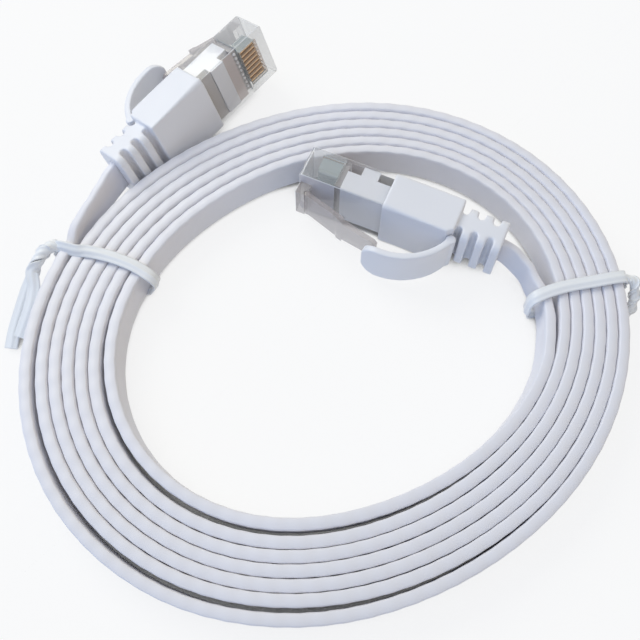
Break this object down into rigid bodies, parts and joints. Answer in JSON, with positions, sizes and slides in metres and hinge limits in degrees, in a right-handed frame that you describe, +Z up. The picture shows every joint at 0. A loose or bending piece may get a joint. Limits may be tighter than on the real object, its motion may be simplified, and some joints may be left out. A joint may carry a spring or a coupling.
{
  "type": "ethernet patch cable",
  "caption": "White flat network patch cable coiled on edge and held by twist ties, with a clear modular plug in a snagless boot on each end.",
  "frame": {"origin": "centre of the bounding box in X and Y, on the ground that the ties stand on", "axes": "+Z up, square to the plane of the coil; +Y towards the plug outside the coil; +X towards the tie on the right"},
  "size_m": [0.113, 0.1132, 0.0156],
  "materials": {
    "jacket": "satin PVC",
    "tie": "satin plastic over a wire",
    "housing": "clear moulded polycarbonate",
    "latch": "clear moulded polycarbonate",
    "boot": "satin PVC",
    "hood": "satin PVC",
    "insert": "satin",
    "wire_guide": "clear moulded polycarbonate",
    "contact": "gold plated, polished",
    "conductor_white_orange": "satin insulation",
    "conductor_orange": "satin insulation",
    "conductor_white_green": "satin insulation",
    "conductor_blue": "satin insulation",
    "conductor_white_blue": "satin insulation",
    "conductor_green": "satin insulation",
    "conductor_white_brown": "satin insulation",
    "conductor_brown": "satin insulation"
  },
  "bodies": {
    "cable": {"lead_a": "jacket", "coil": "jacket", "lead_b": "jacket", "tie_left": "tie", "tie_right": "tie", "housing_a": "housing", "boot_a": "boot", "insert_a": "insert", "wire_guide_a": "wire_guide", "contact_a1": "contact", "contact_a2": "contact", "contact_a3": "contact", "contact_a4": "contact", "contact_a5": "contact", "contact_a6": "contact", "contact_a7": "contact", "contact_a8": "contact", "conductor_a1": "conductor_white_orange", "conductor_a2": "conductor_orange", "conductor_a3": "conductor_white_green", "conductor_a4": "conductor_blue", "conductor_a5": "conductor_white_blue", "conductor_a6": "conductor_green", "conductor_a7": "conductor_white_brown", "conductor_a8": "conductor_brown", "housing_b": "housing", "boot_b": "boot", "insert_b": "insert", "wire_guide_b": "wire_guide", "contact_b1": "contact", "contact_b2": "contact", "contact_b3": "contact", "contact_b4": "contact", "contact_b5": "contact", "contact_b6": "contact", "contact_b7": "contact", "contact_b8": "contact", "conductor_b1": "conductor_white_orange", "conductor_b2": "conductor_orange", "conductor_b3": "conductor_white_green", "conductor_b4": "conductor_blue", "conductor_b5": "conductor_white_blue", "conductor_b6": "conductor_green", "conductor_b7": "conductor_white_brown", "conductor_b8": "conductor_brown"},
    "latch_a": {"latch_a": "latch"},
    "hood_a": {"hood_a": "hood"},
    "latch_b": {"latch_b": "latch"},
    "hood_b": {"hood_b": "hood"}
  },
  "joints": [
    {"name": "hood_a_press", "type": "hinge", "parent": "cable", "child": "hood_a", "pos_m": [-0.03448, 0.03316, 0.00585], "axis": [-0.2632, 0.1438, 0.954], "range_deg": [-15, 0], "stiffness_Nm_per_rad": 0.05},
    {"name": "latch_a_press", "type": "hinge", "parent": "cable", "child": "latch_a", "pos_m": [-0.01717, 0.0541, 0.00747], "axis": [-0.2632, 0.1438, 0.954], "range_deg": [0, 15], "stiffness_Nm_per_rad": 0.04},
    {"name": "hood_b_press", "type": "hinge", "parent": "cable", "child": "hood_b", "pos_m": [0.02329, 0.00772, 0.00633], "axis": [0.008, -0.0035, 1], "range_deg": [-15, 0], "stiffness_Nm_per_rad": 0.05},
    {"name": "latch_b_press", "type": "hinge", "parent": "cable", "child": "latch_b", "pos_m": [-0.00207, 0.0176, 0.00657], "axis": [0.008, -0.0035, 1], "range_deg": [0, 15], "stiffness_Nm_per_rad": 0.04}
  ],
  "couplings": [
    {"joint": "latch_a_press", "follows": "hood_a_press", "ratio": -1},
    {"joint": "latch_b_press", "follows": "hood_b_press", "ratio": -1}
  ]
}
